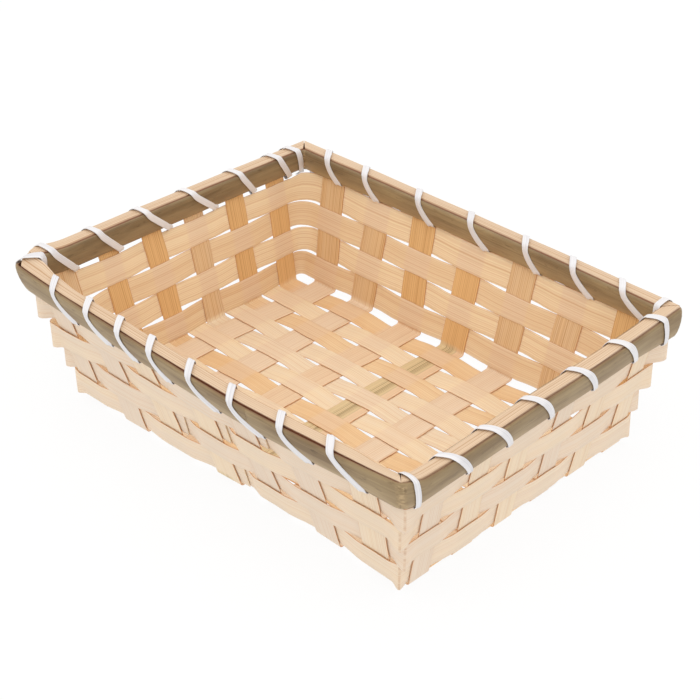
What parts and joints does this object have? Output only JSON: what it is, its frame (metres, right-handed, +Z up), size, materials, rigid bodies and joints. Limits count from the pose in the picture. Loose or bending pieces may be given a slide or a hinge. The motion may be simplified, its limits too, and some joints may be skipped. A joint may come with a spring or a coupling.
{
  "type": "woven chip basket",
  "caption": "Open rectangular basket woven from flat bamboo chips, with flared walls and a split-bamboo rim bound on by a white plastic strip, for holding bread, fruit or small goods.",
  "frame": {"origin": "middle of the underside of the floor, under the centre of the basket", "axes": "+X along the long walls, +Y towards the back long wall, +Z up"},
  "size_m": [0.3082, 0.2424, 0.0877],
  "materials": {
    "chip": "raw bamboo chip, fine lengthwise fibre, satin",
    "rim_skin": "grey-green bamboo skin, satin",
    "rim_filler": "pale split bamboo, fine lengthwise fibre",
    "lashing": "flat white packing strip, slightly glossy"
  },
  "bodies": {
    "root": {"long_stake_1": "chip", "long_stake_2": "chip", "long_stake_3": "chip", "long_stake_4": "chip", "long_stake_5": "chip", "long_stake_6": "chip", "floor_slat_1": "chip", "floor_slat_2": "chip", "floor_slat_3": "chip", "floor_slat_4": "chip", "floor_slat_5": "chip", "cross_stake_1": "chip", "cross_stake_2": "chip", "cross_stake_3": "chip", "cross_stake_4": "chip", "cross_stake_5": "chip", "cross_stake_6": "chip", "cross_stake_7": "chip", "weaver_1": "chip", "weaver_2": "chip", "weaver_3": "chip", "weaver_4": "chip", "rim_outer_band": "rim_skin", "rim_inner_band": "rim_skin", "rim_filler_front": "rim_filler", "rim_filler_right": "rim_filler", "rim_filler_back": "rim_filler", "rim_filler_left": "rim_filler", "rim_lashing": "lashing"}
  },
  "joints": []
}
